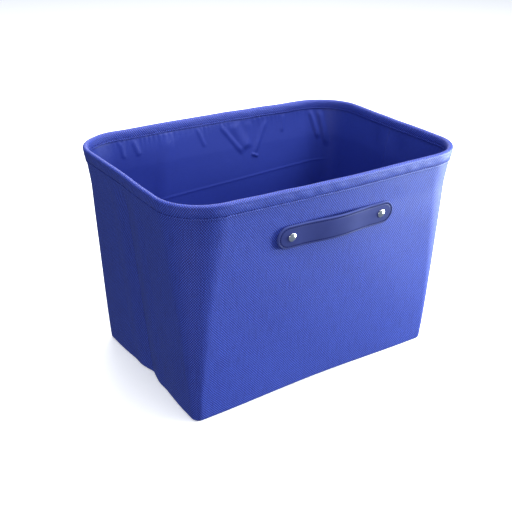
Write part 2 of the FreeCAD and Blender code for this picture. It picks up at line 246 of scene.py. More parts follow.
def wall_point(around, z, inset=0.0):
    """A point of the front half of the wall and its outward direction, as x, y, nx, ny. around runs
    from 0 at the left seam to 1 at the right: side, corner arc, front, corner arc, side. inset moves
    the point inwards against that direction."""
    around, z, inset = np.broadcast_arrays(around, z, inset)
    a, b, r = wall_half(z, 0), wall_half(z, 1), corner_radius(z)
    run = np.clip(np.searchsorted(RUNS, around, side="right") - 1, 0, 4)
    q = (around - RUNS[run]) / (RUNS[run + 1] - RUNS[run])
    left, right = np.pi + q * np.pi / 2, 1.5 * np.pi + q * np.pi / 2
    one, zero = np.ones_like(q), np.zeros_like(q)
    xs = [-a, r - a + r * np.cos(left), (2 * q - 1) * (a - r), a - r + r * np.cos(right), a]
    ys = [-q * (b - r), r - b + r * np.sin(left), -b, r - b + r * np.sin(right), (q - 1) * (b - r)]
    x, y = np.choose(run, xs), np.choose(run, ys)
    nx = np.choose(run, [-one, np.cos(left), zero, np.cos(right), one])
    ny = np.choose(run, [zero, np.sin(left), -one, np.sin(right), zero])
    out = long_bow(x, z) * ny**2 - side_fold(y, z) * nx**2 + ripple(x, y, z) - inset
    return x + nx * out, y + ny * out, nx, ny


def foot_lift(x, y):
    """How far the foot of the wall is lifted off the floor: a notch where the side folds in, and a
    low arch along the long walls."""
    end = smooth((np.abs(x) / BASE_HALF[0] - 0.80) / 0.10)
    side = smooth((np.abs(y) / BASE_HALF[1] - 0.86) / 0.10)
    notch = NOTCH * hump(y, NOTCH_REACH) * end
    arch = FOOT_ARCH * hump(x, FOOT_ARCH_SHARE * BASE_HALF[0]) * side
    return notch + arch


# Meshes


def settled(points):
    """The same points with the front of the bin sunk a little: by the droop at the rim, by the square
    of the height's share below it, and eased out towards the back."""
    forward = smooth(0.5 - points[..., 1] / (2 * RIM_HALF[1]))
    sunk = points.copy()
    sunk[..., 2] -= sizes().droop * forward * np.clip(points[..., 2] / HEIGHT, 0, 1) ** 2
    return sunk


def add_piece(name, points, faces, material=None, uv=None):
    """A new smooth-shaded mesh object at the origin. uv holds one pair for each point, in metres."""
    mesh = bpy.data.meshes.new(name)
    faces = faces.tolist() if isinstance(faces, np.ndarray) else faces
    mesh.from_pydata(settled(np.asarray(points)).reshape(-1, 3), [], faces)
    if uv is not None:
        loops = np.empty(len(mesh.loops), dtype=np.int32)
        mesh.loops.foreach_get("vertex_index", loops)
        layer = mesh.uv_layers.new(name="cloth")
        layer.data.foreach_set("uv", np.asarray(uv).reshape(-1, 2)[loops].ravel())
    mesh.polygons.foreach_set("use_smooth", np.ones(len(mesh.polygons), dtype=bool))
    piece = bpy.data.objects.new(name, mesh)
    bpy.context.scene.collection.objects.link(piece)
    if material is not None:
        mesh.materials.append(material)
    return piece


def grid_faces(rows, columns, loop_rows=False, loop_columns=False):
    """Quads over a grid of points, rows by columns, that may close on itself either way."""
    index = np.arange(rows * columns).reshape(rows, columns)
    if loop_rows:
        index = np.vstack([index, index[:1]])
    if loop_columns:
        index = np.hstack([index, index[:, :1]])
    quads = [index[:-1, :-1], index[:-1, 1:], index[1:, 1:], index[1:, :-1]]
    return np.stack(quads, axis=-1).reshape(-1, 4)


def thicken(piece, thickness):
    """Gives a sheet its thickness, inwards from the face it was drawn as."""
    solid = piece.modifiers.new("thickness", "SOLIDIFY")
    solid.thickness = thickness
    solid.offset = -1.0
    solid.use_even_offset = True
    solid.use_rim = True
    return piece


def weld(piece, distance=1e-6, outwards=False):
    """Joins a mesh's points that meet, such as a pole's, and can turn a closed one's faces out."""
    work = bmesh.new()
    work.from_mesh(piece.data)
    bmesh.ops.remove_doubles(work, verts=work.verts, dist=distance)
    if outwards:
        bmesh.ops.recalc_face_normals(work, faces=work.faces)
    work.to_mesh(piece.data)
    work.free()
    return piece


def half_turned(points):
    """The same points turned half round the Z axis, from the front of the bin to its back."""
    return points * np.array([-1.0, -1.0, 1.0])


def whole_way(front):
    """Rows of points round the front half, joined to the same rows turned to the back."""
    return np.concatenate([front[:, :-1], half_turned(front)[:, :-1]], axis=1)


def carried(name, centres, first, second, ring, material):
    """A tube with flat ends: ring, a closed profile of pairs, carried along centres on the directions
    first and second."""
    points = (
        centres[:, None] + ring[None, :, :1] * first[:, None] + ring[None, :, 1:] * second[:, None]
    )
    count = len(centres) * len(ring)
    faces = grid_faces(len(centres), len(ring), False, True).tolist()
    faces += [list(range(len(ring)))[::-1], list(range(count - len(ring), count))]
    return weld(add_piece(name, points, faces, material), outwards=True)


def circle(radius, count):
    """A round profile of pairs."""
    turn = np.arange(count) * 2 * np.pi / count
    return radius * np.stack([np.cos(turn), np.sin(turn)], axis=-1)


def stitched(name, centres, along, out, length, radius, material):
    """One piece of many stitches: each a slim egg that lies along its seam, half sunk into the cloth.
    A stitch is a grid of turns by rings, closed at its two tips, copied to every centre at once."""
    rings, turns = 6, 6
    lie = np.linspace(0, np.pi, rings)[:, None]
    turn = (np.arange(turns) * 2 * np.pi / turns)[None, :]
    egg = np.stack(
        [
            -np.cos(lie) * length / 2 * np.ones_like(turn),
            np.sin(lie) ** 0.6 * radius * np.cos(turn),
            np.sin(lie) ** 0.6 * radius * np.sin(turn),
        ],
        axis=-1,
    ).reshape(-1, 3)
    side = np.cross(out, along)
    points = (
        centres[:, None]
        + egg[None, :, :1] * along[:, None]
        + egg[None, :, 1:2] * side[:, None]
        + egg[None, :, 2:] * out[:, None]
    )
    single = grid_faces(rings, turns, False, True)
    faces = (single[None] + np.arange(len(centres))[:, None, None] * rings * turns).reshape(-1, 4)
    return weld(add_piece(name, points, faces, material), outwards=True)


def directions(points, closed):
    """The direction along a line of points at each of them."""
    if closed:
        step = np.roll(points, -1, axis=0) - np.roll(points, 1, axis=0)
    else:
        step = np.gradient(points, axis=0)
    return step / np.linalg.norm(step, axis=-1, keepdims=True)


def evenly(points, pitch, closed):
    """Places a pitch apart along a line of points, adjusted so that a whole number fits."""
    line = np.vstack([points, points[:1]]) if closed else points
    far = np.concatenate([[0], np.cumsum(np.linalg.norm(np.diff(line, axis=0), axis=1))])
    count = max(2, int(round(far[-1] / pitch)))
    wanted = np.arange(count) * far[-1] / count if closed else np.linspace(0, far[-1], count)
    return np.stack([np.interp(wanted, far, line[:, k]) for k in range(3)], axis=-1)


# Shader maths


def shade_of(colour, share):
    """The same colour, lighter or darker by that share."""
    return tuple(min(1.0, part * share) for part in colour)


class Value:
    """A shader socket that takes Python's arithmetic. Each operation adds one Math node."""

    def __init__(self, finish, socket):
        self.finish = finish
        self.socket = socket

    def maths(self, operation, *others):
        inputs = dict(enumerate([self, *others]))
        return self.finish.node("ShaderNodeMath", {"operation": operation}, inputs)

    def __add__(self, other):
        return self.maths("ADD", other)

    __radd__ = __add__

    def __sub__(self, other):
        return self.maths("SUBTRACT", other)

    def __rsub__(self, other):
        return self * -1.0 + other

    def __mul__(self, other):
        return self.maths("MULTIPLY", other)

    __rmul__ = __mul__

    def __truediv__(self, other):
        return self.maths("DIVIDE", other)

    def __abs__(self):
        return self.maths("ABSOLUTE")

    def sine(self):
        return self.maths("SINE")

    def most(self, other):
        return self.maths("MAXIMUM", other)

    def limited(self):
        """The value held between 0 and 1."""
        return self.finish.node("ShaderNodeClamp", {}, {0: self})


class Finish:
    """A material being made: its nodes and the one shader that they feed."""

    def __init__(self, name):
        self.material = bpy.data.materials.new(name)
        self.material.use_nodes = True
        self.tree = self.material.node_tree
        self.tree.nodes.clear()
        self.output = self.tree.nodes.new("ShaderNodeOutputMaterial")

    def node(self, kind, settings=None, inputs=None, output=0):
        """Adds a node of that type: its settings first, then its sockets' values or links."""
        made = self.tree.nodes.new(kind)
        for key, value in (settings or {}).items():
            setattr(made, key, value)
        for key, value in (inputs or {}).items():
            if isinstance(value, Value):
                self.tree.links.new(value.socket, made.inputs[key])
            else:
                made.inputs[key].default_value = value
        return Value(self, made.outputs[output])

    def place(self):
        """The place on the piece in its own coordinates, in metres."""
        return self.node("ShaderNodeTexCoord", output="Object")

    def split(self, vector):
        """A vector's three parts."""
        made = self.node("ShaderNodeSeparateXYZ", {}, {0: vector})
        return [Value(self, socket) for socket in made.socket.node.outputs]

    def joined(self, x, y, z=0.0):
        return self.node("ShaderNodeCombineXYZ", {}, {0: x, 1: y, 2: z})

    def noise(self, vector, scale, detail=2.0, roughness=0.5):
        inputs = {"Vector": vector, "Scale": scale, "Detail": detail, "Roughness": roughness}
        return self.node("ShaderNodeTexNoise", {}, inputs)

    def blend(self, factor, first, second):
        """A colour between two, first at 0 and second at 1."""
        first, second = (
            tuple(c) + (1.0,) if not isinstance(c, Value) else c for c in (first, second)
        )
        return self.node("ShaderNodeMix", {"data_type": "RGBA"}, {0: factor, 6: first, 7: second}, 2)

    def raised(self, height, distance, strength=1.0):
        """A bump from a height between 0 and 1, distance metres tall."""
        return self.node(
            "ShaderNodeBump", {}, {"Height": height, "Distance": distance, "Strength": strength}
        )

    def done(self, **inputs):
        """Ends with the shader that takes these inputs, underscores standing for spaces."""
        named = {key.replace("_", " "): value for key, value in inputs.items()}
        shader = self.node("ShaderNodeBsdfPrincipled", {}, named)
        self.tree.links.new(shader.socket, self.output.inputs["Surface"])
        return self.material


def woven_cloth():
    """Coarse plain weave in slubby yarn. The product of a sine across the yarns and a sine across the
    picks is positive where a yarn lies on top and negative where a pick does."""
    finish = Finish("woven_cloth")
    c, s = colours(), sizes()
    uv = finish.node("ShaderNodeUVMap", {"uv_map": "cloth"})
    u, v, _ = finish.split(uv)
    wander = finish.noise(uv, 60.0, 3.0)
    across = u / s.yarn + wander * 2.2
    up = v / s.pick + finish.noise(finish.joined(v, u), 60.0, 3.0) * 2.2
    yarn_wave, pick_wave = (across * math.pi).sine(), (up * math.pi).sine()
    over = yarn_wave * pick_wave
    height = (abs(yarn_wave) * 0.6 + over * 0.4).most(abs(pick_wave) * 0.6 - over * 0.4)
    on_top = (over * 2.5 + 0.5).limited()
    yarn_tone = finish.noise(finish.joined(across * 0.8, up * 0.06), 1.0, 2.0, 0.6)
    pick_tone = finish.noise(finish.joined(across * 0.06 + 40.0, up * 0.8), 1.0, 2.0, 0.6)
    tone = on_top * (yarn_tone * 1.7 + 0.50) + (1.0 - on_top) * (pick_tone * 1.7 - 0.85)
    fibre = finish.noise(uv, 1500.0, 2.0, 0.6)
    cloudy = finish.noise(uv, 14.0, 2.0)
    # The weave's height is painted into the colour: painted shade darkens the hollows between the
    # yarns and painted highlight lightens their crests; tone, fibre and cloudy are the yarn's own
    # colour
    shade = tone + height * 0.6 + fibre * 1.1 + cloudy * 0.3 - 1.40
    colour = finish.blend(shade.limited(), c.deep_yarn, c.pale_yarn)
    bumpy = finish.raised(height * 0.8 + fibre * 0.2, 0.28 * MM, 0.8)
    rough = fibre * 0.2 + 0.5
    return finish.done(Base_Color=colour, Roughness=rough, Normal=bumpy, Specular_IOR_Level=0.5)


def lining_cloth():
    """Fine smooth lining with a slight sheen and a faint weave."""
    finish = Finish("lining_cloth")
    place = finish.place()
    x, y, z = finish.split(place)
    weave = (x * (2 * math.pi / (0.5 * MM))).sine() * (z * (2 * math.pi / (0.5 * MM))).sine()
    cloudy = finish.noise(place, 9.0, 3.0)
    slub = finish.noise(finish.joined(x * 0.15, y * 0.15, z), 900.0, 2.0)
    base = tuple(colours().lining)
    lighter = shade_of(base, 1.35)
    colour = finish.blend((cloudy * 0.8 + slub * 0.5 - 0.2).limited(), base, lighter)
    bumpy = finish.raised(weave * 0.25 + slub * 0.75, 0.08 * MM, 0.5)
    return finish.done(
        Base_Color=colour, Roughness=slub * 0.15 + 0.42, Normal=bumpy, Specular_IOR_Level=0.35
    )


def smooth_leather():
    """Smooth leather: a fine pebbled grain, slow changes of tone, painted shade along the stitch
    groove, and a paler, rougher cut edge.
    """
    finish = Finish("smooth_leather")
    c = colours()
    place = finish.place()
    edge = finish.node("ShaderNodeAttribute", {"attribute_name": "cut_edge"}, {}, 2)
    pebble = finish.node("ShaderNodeTexVoronoi", {}, {"Vector": place, "Scale": 1500.0})
    fine = finish.noise(place, 3000.0, 3.0)
    slow = finish.noise(place, 45.0, 3.0)
    seam = finish.node("ShaderNodeAttribute", {"attribute_name": "seam_line"}, {}, 2)
    # The stitch groove's colour is painted darker, to under half the leather's: painted shade in the
    # groove, placed by seam_line
    worn, crease_relief_and_groove_shade = shade_of(c.leather, 0.78), shade_of(c.leather, 0.45)
    plain = finish.blend((slow * 1.4 - 0.2).limited(), worn, c.leather)
    face = finish.blend((seam * 0.8).limited(), plain, crease_relief_and_groove_shade)
    colour = finish.blend((edge * 0.85).limited(), face, c.leather_edge)
    bumpy = finish.raised(pebble * 0.6 + fine * 0.4, 0.10 * MM, 0.35)
    rough = (slow * 0.18 + edge * 0.25 + 0.42).limited()
    return finish.done(Base_Color=colour, Roughness=rough, Normal=bumpy, Specular_IOR_Level=0.2)


def bright_metal(name, colour, roughness, drawn=0.0):
    """Plated or drawn steel, with faint scratches and, where drawn, lines along the wire."""
    finish = Finish(name)
    place = finish.place()
    scratch = finish.noise(place, 1400.0, 4.0)
    lines = finish.noise(place, 260.0 + drawn, 2.0)
    tone = finish.blend((lines * 0.7).limited(), colour, shade_of(colour, 0.86))
    rough = scratch * 0.10 + (roughness - 0.05)
    return finish.done(
        Base_Color=tone, Metallic=1.0, Roughness=rough, Normal=finish.raised(scratch, 0.02 * MM, 0.2)
    )


def pressed_card():
    """Grey-brown card: short fibres and darker flecks."""
    finish = Finish("pressed_card")
    place = finish.place()
    fibre = finish.noise(place, 700.0, 4.0, 0.65)
    fleck = finish.noise(place, 160.0, 2.0)
    base = tuple(colours().card)
    dark = shade_of(base, 0.6)
    colour = finish.blend((fibre * 0.9 + fleck * 0.5 - 0.3).limited(), dark, base)
    return finish.done(
        Base_Color=colour, Roughness=fibre * 0.1 + 0.8, Normal=finish.raised(fibre, 0.1 * MM, 0.5)
    )


def twisted_thread():
    """Sewing thread: slanting plies along each stitch."""
    finish = Finish("twisted_thread")
    x, y, z = finish.split(finish.place())
    ply = ((x + y + z) * (2 * math.pi / (0.55 * MM))).sine()
    base = tuple(colours().thread)
    # The ply crests are painted lighter and the grooves between the plies darker: painted highlight
    # and painted shade that follow the ply bump
    lighter = shade_of(base, 1.9)
    colour = finish.blend((ply * 0.5 + 0.5).limited(), base, lighter)
    bumpy = finish.raised(ply * 0.5 + 0.5, 0.06 * MM, 0.6)
    return finish.done(
        Base_Color=colour, Roughness=ply * 0.05 + 0.7, Normal=bumpy, Specular_IOR_Level=0.05
    )


def pale_floor():
    """Plain matt studio floor."""
    finish = Finish("pale_floor")
    grain = finish.noise(finish.place(), 3.0, 2.0)
    colour = finish.blend(grain, (0.90, 0.90, 0.90), (0.92, 0.92, 0.92))
    return finish.done(
        Base_Color=colour, Roughness=grain * 0.02 + 0.88, Specular_IOR_Level=0.0,
        Emission_Color=(1.0, 1.0, 1.0, 1.0), Emission_Strength=0.45,
    )


MAKERS = {
    "woven_cloth": woven_cloth,
    "lining_cloth": lining_cloth,
    "smooth_leather": smooth_leather,
    "bright_plating": lambda: bright_metal("bright_plating", (0.90, 0.91, 0.92), 0.24),
    "drawn_steel": lambda: bright_metal("drawn_steel", (0.55, 0.55, 0.56), 0.32, 900.0),
    "pressed_card": pressed_card,
    "twisted_thread": twisted_thread,
    "pale_floor": pale_floor,
}


def finish_of(name):
    """The material of that name, made when it is first asked for."""
    return bpy.data.materials.get(name) or MAKERS[name]()


# Panels of cloth


def long_lengths(points):
    """Signed length along each row of points, 0 at the row's middle."""
    step = np.linalg.norm(np.diff(points, axis=1), axis=2)
    far = np.concatenate([np.zeros((len(points), 1)), np.cumsum(step, axis=1)], axis=1)
    return far - far[:, -1:] / 2


def cut_of(points):
    """The flat size of the cloth in a grid of points: its widest row, longest column and area."""
    rows = np.linalg.norm(np.diff(points, axis=1), axis=2).sum(axis=1)
    columns = np.linalg.norm(np.diff(points, axis=0), axis=2).sum(axis=0)
    across, up = points[:-1, 1:] - points[:-1, :-1], points[1:, :-1] - points[:-1, :-1]
    area = np.linalg.norm(np.cross(across, up), axis=2).sum()
    return (float(rows.max()), float(columns.max())), float(area)


OUTER_SEAM_GAP = 0.15 * MM
LINING_SEAM_GAP = 0.01 * MM


def wall_sheet(name, back, z, inset, columns, thickness, material, inwards=False, relief=None):
    """A panel over one half of the wall: rows at heights z and insets inset, from seam to seam.
    relief, if any, gives a further inset from x, y, z and the length along. An inward panel is the
    face that the bin's inside shows."""
    seam = LINING_SEAM_GAP if inwards else OUTER_SEAM_GAP
    around = np.linspace(0, 1, columns)
    x, y, nx, ny = wall_point(around[None], z[:, None], inset[:, None])
    turn = -1.0 if back else 1.0
    height = np.broadcast_to(z[:, None], x.shape)
    points = np.stack([x, np.minimum(y, -seam), height], axis=-1)
    along = long_lengths(points)
    if relief is not None:
        extra = relief(turn * x, turn * y, height, along)
        points[..., 0] -= nx * extra
        points[..., 1] -= ny * extra
        points[:, [0, -1], 1] = -seam
    low = np.clip(1 - height / FOOT_BAND, 0, 1) ** 2
    points[..., 2] += foot_lift(x, y) * low
    if back:
        points = half_turned(points)
    faces = grid_faces(len(z), columns)
    uv = np.stack([along, np.broadcast_to(z[:, None], along.shape)], axis=-1)
    piece = add_piece(name, points, faces[:, ::-1] if inwards else faces, material, uv)
    flat, area = cut_of(points)
    return thicken(piece, thickness), flat, area


def half_line(z, inset, count):
    """A line round the front half of the wall at one height and inset."""
    x, y, _, _ = wall_point(np.linspace(0, 1, count), z, inset)
    return np.stack([x, y, np.full(count, z)], axis=-1)


# Shares of the way out from the floor's middle at which its rings lie
FLOOR_RINGS = np.array([1, 0.995, 0.988, 0.98, 0.97, 0.94, 0.88, 0.75, 0.6, 0.45, 0.3, 0.15, 0])
FLOOR_RIM_SHARE = 0.97


def floor_sheet(name, z, inset, thickness, material, upwards):
    """A flat panel that fills the foot of the wall: rings of the wall's outline, drawn in to a pole,
    with the edge lifted where the wall's foot is."""
    edge = whole_way(half_line(0.0, inset, 181)[None])[0]
    points = edge[None] * FLOOR_RINGS[:, None, None]
    outermost = smooth((FLOOR_RINGS[:, None] - FLOOR_RIM_SHARE) / (1 - FLOOR_RIM_SHARE))
    points[..., 2] = z + foot_lift(edge[:, 0], edge[:, 1])[None] * outermost
    faces = grid_faces(len(FLOOR_RINGS), len(edge), False, True)
    uv = points[..., :2]
    piece = add_piece(name, points, faces if upwards else faces[:, ::-1], material, uv)
    weld(piece)
    flat = tuple(float(size) for size in np.ptp(points[0, :, :2], axis=0))
    return thicken(piece, thickness), flat


FOOT_ROLL = 3.2 * MM


class AddOuterCloth(bpy.types.Operator):
    """Add the woven outer cloth: front and back panels that meet at the side folds, and the base"""

    bl_idname = "mesh.bin_outer_cloth"
    bl_label = "Outer cloth"

    def execute(self, context):
        roll = FOOT_ROLL
        turn = np.linspace(0, np.pi / 2, 8)
        rise = np.linspace(roll, PANEL_HIGH[2], 96)[1:]
        z = np.concatenate([roll * (1 - np.cos(turn)), rise])
        inset = np.concatenate([roll * (1 - np.sin(turn)), np.zeros(len(rise))])
        cloth = finish_of("woven_cloth")
        for name, node, back in (
            ("outer_front", "outer_front_panel", False),
            ("outer_back", "outer_back_panel", True),
        ):
            piece, flat, area = wall_sheet(name, back, z, inset, 361, FABRIC, cloth)
            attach(piece, BIN)
            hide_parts(node)
        base, flat = floor_sheet("outer_base", 0.0, roll, FABRIC, cloth, False)
        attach(base, BIN)
        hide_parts("outer_base_panel")
        return {"FINISHED"}


CARD_CORNER_GAP = 0.006
CARD_SIDE_GAP = 0.004
CARD_SEAM_GAP = 0.018


class AddStiffeners(bpy.types.Operator):
    """Add the card boards between the outer cloth and the lining"""

    bl_idname = "mesh.bin_stiffeners"
    bl_label = "Stiffeners"

    def execute(self, context):
        card = finish_of("pressed_card")
        z = np.linspace(BOARD_LOW[2], BOARD_HIGH[2], 40)
        long_run = (RUNS[2] + CARD_CORNER_GAP, RUNS[3] - CARD_CORNER_GAP)
        first_side = (CARD_SEAM_GAP, RUNS[1] - CARD_SIDE_GAP)
        last_side = (RUNS[4] + CARD_SIDE_GAP, 1 - CARD_SEAM_GAP)
        runs = {
            "front_board": (False, long_run),
            "back_board": (True, long_run),
            "left_front_board": (False, first_side),
            "right_front_board": (False, last_side),
            "right_back_board": (True, first_side),
            "left_back_board": (True, last_side),
        }
        for node, (back, (first, last)) in runs.items():
            around = np.linspace(first, last, 60)
            x, y, _, _ = wall_point(around[None], z[:, None], BOARD_INSET)
            points = np.stack([x, y, np.broadcast_to(z[:, None], x.shape)], axis=-1)
            if back:
                points = half_turned(points)
            sheet = add_piece(node.replace("board", "card"), points, grid_faces(40, 60), card)
            piece = thicken(sheet, BOARD)
            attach(piece, BIN)
            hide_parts(node)
        return {"FINISHED"}


# Folds of the loose lining, in millimetres: start x and z, end x and z, half width, depth
LINING_FOLDS = (
    (10, 238, 37, 202, 5, 1.2),
    (28, 238, 43, 206, 12, 1.5),
    (76, 236, 54, 197, 5, 1.2),
    (50, 238, 46, 208, 9, 0.8),
    (51, 198, 60, 194, 3, 1.3),
    (-66, 240, -86, 150, 14, 1.6),
    (-24, 240, -16, 218, 4, 0.8),
    (104, 240, 100, 220, 4, 0.9),
    (146, 240, 156, 205, 5, 1.5),
    (158, 240, 166, 196, 5, 1.7),
    (-112, 240, -106, 222, 5, 0.9),
    (-128, 240, -126, 222, 4, 0.8),
)
BACK_WALL_FROM = 50 * MM
GATHER, GATHER_DEPTH, GATHER_PITCH = 1.1 * MM, 4.5 * MM, 1.05 * MM
LEVEL_SLACK, UPRIGHT_SLACK = 0.9 * MM, 0.5 * MM
LEVEL_CREASE_Z, LEVEL_CREASE_X, LEVEL_CREASE_SLOPE = 164 * MM, -74 * MM, 0.045
LEVEL_CREASE, LEVEL_BULGE = 0.5 * MM, 3.2 * MM


def lining_relief(x, y, z, along):
    """How far the loose lining stands inwards: gathers under the rim's inner seam that fade
    downwards, broad slack, and the folds of the back wall and its corner."""
    below = HEIGHT - INSIDE_DEPTH - z
    free = smooth((below + 1.0 * MM) / (4 * MM))
    uneven = 0.35 + 0.65 * np.sin(along / 0.031 + 1.6 * np.sin(along / 0.019)) ** 2
    phase = along / GATHER_PITCH + 2.6 * np.sin(along / 0.017) + below / (22 * MM)
    gather = 0.5 + 0.5 * np.sin(phase)
    tuck = GATHER * gather * uneven**2 * np.exp(-np.clip(below, 0, None) / GATHER_DEPTH)
    slack = LEVEL_SLACK * (0.5 + 0.5 * np.sin(x / 0.033 + np.sin(z / 0.045) * 1.5 + y / 0.05))
    slack = slack + UPRIGHT_SLACK * (0.5 + 0.5 * np.sin(z / 0.024 + np.sin(x / 0.05) * 2))
    slack = slack * np.sin(np.pi * np.clip(z / HEIGHT, 0, 1))
    folds = sum(
        fold(x, z, (x0 * MM, z0 * MM), (x1 * MM, z1 * MM), width * MM, depth * MM)
        for x0, z0, x1, z1, width, depth in LINING_FOLDS
    )
    crease_z = LEVEL_CREASE_Z + (x - LEVEL_CREASE_X) * LEVEL_CREASE_SLOPE
    below_crease = smooth((z - crease_z + 75 * MM) / (75 * MM))
    above_crease = smooth((crease_z + 70 * MM - z) / (70 * MM))
    crease_relief_and_groove_shade = LEVEL_CREASE * hump(z - crease_z, 1.8 * MM) + LEVEL_BULGE * below_crease * above_crease
    crease_relief_and_groove_shade = crease_relief_and_groove_shade * smooth((x + 105 * MM) / (40 * MM)) * smooth((175 * MM - x) / (20 * MM))
    wall = folds + crease_relief_and_groove_shade * smooth(z / (60 * MM))
    return free * (tuck + slack + np.where(y > BACK_WALL_FROM, wall, 0.25 * wall))


class AddLining(bpy.types.Operator):
    """Add the loose lining: front and back panels and the floor"""

    bl_idname = "mesh.bin_lining"
    bl_label = "Lining"

    def execute(self, context):
        cloth = finish_of("lining_cloth")
        low, high = LINING_FLOOR_HIGH[2], PANEL_HIGH[2] - 1 * MM
        dense_from, dense_to = 148 * MM, 188 * MM
        bands = ((low, dense_from, 16), (dense_from, dense_to, 34), (dense_to, high, 56))
        z = np.unique(np.concatenate([np.linspace(*band) for band in bands]))
        inset = np.full(len(z), LINING_INSET + LINING)
        for name, node, back in (
            ("lining_front", "lining_front_panel", False),
            ("lining_back", "lining_back_panel", True),
        ):
            piece, flat, area = wall_sheet(
                name, back, z, inset, 421, LINING, cloth, inwards=True, relief=lining_relief
            )
            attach(piece, BIN)
            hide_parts(node)
        floor, flat = floor_sheet("lining_base", low, LINING_INSET, LINING, cloth, True)
        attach(floor, BIN)
        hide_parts("lining_base_panel")
        return {"FINISHED"}


def rim_line(z, inset, count):
    """The whole way round at one height and inset, starting at the middle of the back."""
    line = whole_way(half_line(z, inset, count)[None])[0]
    return np.roll(line, -(3 * len(line)) // 4, axis=0)


def outward(line):
    """Level directions out of a line that runs anticlockwise seen from above."""
    return np.cross(directions(line, True), np.array([0.0, 0.0, 1.0]))


HALF_RIM_LENGTH = 0.596
OUTER_SEAM_RISE, INNER_SEAM_RISE = 2.6 * MM, 2.2 * MM
SEAM_REACH, PUFF_ABOVE_SEAM, PUFF_REACH, PUFF = 1.7 * MM, 5 * MM, 5.5 * MM, 0.60 * MM
HEM_WAVE = 0.16 * MM
STITCH_SUNK, STITCH_RADIUS, STITCH_SHARE = 0.35 * MM, 0.40 * MM, 0.66
WIRE_END_GAP = 0.3 * MM


class AddRim(bpy.types.Operator):
    """Add the rim: the folded cloth binding with its two rows of stitches, the wire and its sleeve"""

    bl_idname = "mesh.bin_rim"
    bl_label = "Rim"

    def execute(self, context):
        pitch = sizes().stitch_pitch
        roll = ROLL_RADIUS - BINDING
        turn = np.linspace(0, np.pi, 15)
        hem_z, inner_z = BINDING_LOW[2], HEIGHT - INSIDE_DEPTH
        outer_rise = np.linspace(hem_z + 0.3 * MM, WIRE_Z, 16)[:-1]
        inner_rise = np.linspace(inner_z + 0.3 * MM, WIRE_Z, 12)[:-1]
        legs = [
            (np.full(15, -BINDING), outer_rise, np.ones(15)),
            (roll - ROLL_RADIUS * np.cos(turn), WIRE_Z + ROLL_RADIUS * np.sin(turn), 0 * turn),
            (np.full(11, LEG_INSET + BINDING), inner_rise[::-1], -np.ones(11)),
            (np.array([LEG_INSET + BINDING / 2]), np.array([inner_z]), np.zeros(1)),
            (np.full(11, LEG_INSET), inner_rise, np.zeros(11)),
            (roll + roll * np.cos(turn), WIRE_Z + roll * np.sin(turn), 0 * turn),
            (np.zeros(15), outer_rise[::-1], np.zeros(15)),
            (np.array([-BINDING / 2]), np.array([hem_z]), np.zeros(1)),
        ]
        inset, z, face = (np.concatenate([leg[k] for leg in legs]) for k in range(3))
        around = np.linspace(0, 1, 561)
        length = around * HALF_RIM_LENGTH
        outer_seam, inner_seam = hem_z + OUTER_SEAM_RISE, inner_z + INNER_SEAM_RISE
        seam = np.where(face > 0, outer_seam, inner_seam)
        held = hump(z - seam, SEAM_REACH)[:, None]
        pull = held * (0.42 + 0.20 * np.cos(2 * np.pi * length / pitch)[None]) * MM
        puff = hump(z - seam - PUFF_ABOVE_SEAM, PUFF_REACH)[:, None] * PUFF
        puff = puff * (0.6 + 0.4 * np.sin(length / 0.0047 + 2 * np.sin(length / 0.021)))[None]
        relief = np.where(face > 0, 1.0, -0.5)[:, None] * np.abs(face)[:, None] * (pull - puff)
        wave = HEM_WAVE * np.sin(length / 0.011 + 1.5 * np.sin(length / 0.037))[None]
        heights = z[:, None] + wave * np.ones_like(relief)
        x, y, _, _ = wall_point(around[None], heights, inset[:, None] + relief)
        front = np.stack([x, y, heights], axis=-1)
        points = whole_way(front)
        middle = np.concatenate([length[:-1], length[:-1] + length[-1]])
        profile = np.concatenate([[0], np.cumsum(np.hypot(np.diff(inset), np.diff(z)))])
        uv = np.stack(np.broadcast_arrays(middle[None], profile[:, None]), axis=-1)
        faces = grid_faces(len(z), points.shape[1], True, True)
        binding = add_piece("rim_binding_cloth", points, faces, finish_of("woven_cloth"), uv)
        weld(binding, outwards=True)

        thread = finish_of("twisted_thread")
        rows = []
        for name, row_z, row_inset, side in (
            ("rim_stitches_outside", outer_seam, -BINDING + STITCH_SUNK, 1.0),
            ("rim_stitches_inside", inner_seam, LEG_INSET + BINDING - STITCH_SUNK, -1.0),
        ):
            line = rim_line(row_z, row_inset, 900)
            centres = evenly(line, pitch, True)
            out = outward(centres) * side
            along, long = directions(centres, True), pitch * STITCH_SHARE
            rows.append(stitched(name, centres, along, out, long, STITCH_RADIUS, thread))
        for row in rows:
            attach(row, BIN)
        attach(binding, BIN)
        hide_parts("rim_binding")
        round_it = float(np.linalg.norm(np.diff(rim_line(HEIGHT, roll, 300), axis=0), axis=1).sum())

        steel = finish_of("drawn_steel")
        line = rim_line(WIRE_Z, roll, 300)
        line = np.vstack([line, line[:1]])
        line[0, 0] -= WIRE_END_GAP
        line[-1, 0] += WIRE_END_GAP
        up = np.broadcast_to(np.array([0.0, 0.0, 1.0]), line.shape)
        out = np.cross(directions(line, False), up)
        wire = carried("rim_wire_steel", line, out, up, circle(WIRE_RADIUS, 14), steel)
        reach = np.linspace(FERRULE_HIGH[0], FERRULE_LOW[0], 9)
        flat = np.ones(9)
        sleeve_line = np.stack([reach, line[:, 1].max() * flat, WIRE_Z * flat], axis=-1)
        sleeve_radius = (FERRULE_HIGH[2] - FERRULE_LOW[2]) / 2
        behind, above = (np.broadcast_to(np.eye(3)[k], (9, 3)) for k in (1, 2))
        sleeve = carried("rim_sleeve", sleeve_line, behind, above, circle(sleeve_radius, 20), steel)
        for piece, node in ((wire, "rim_wire"), (sleeve, "rim_ferrule")):
            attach(piece, BIN)
            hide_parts(node)
        return {"FINISHED"}


# Flat pieces with rounded ends


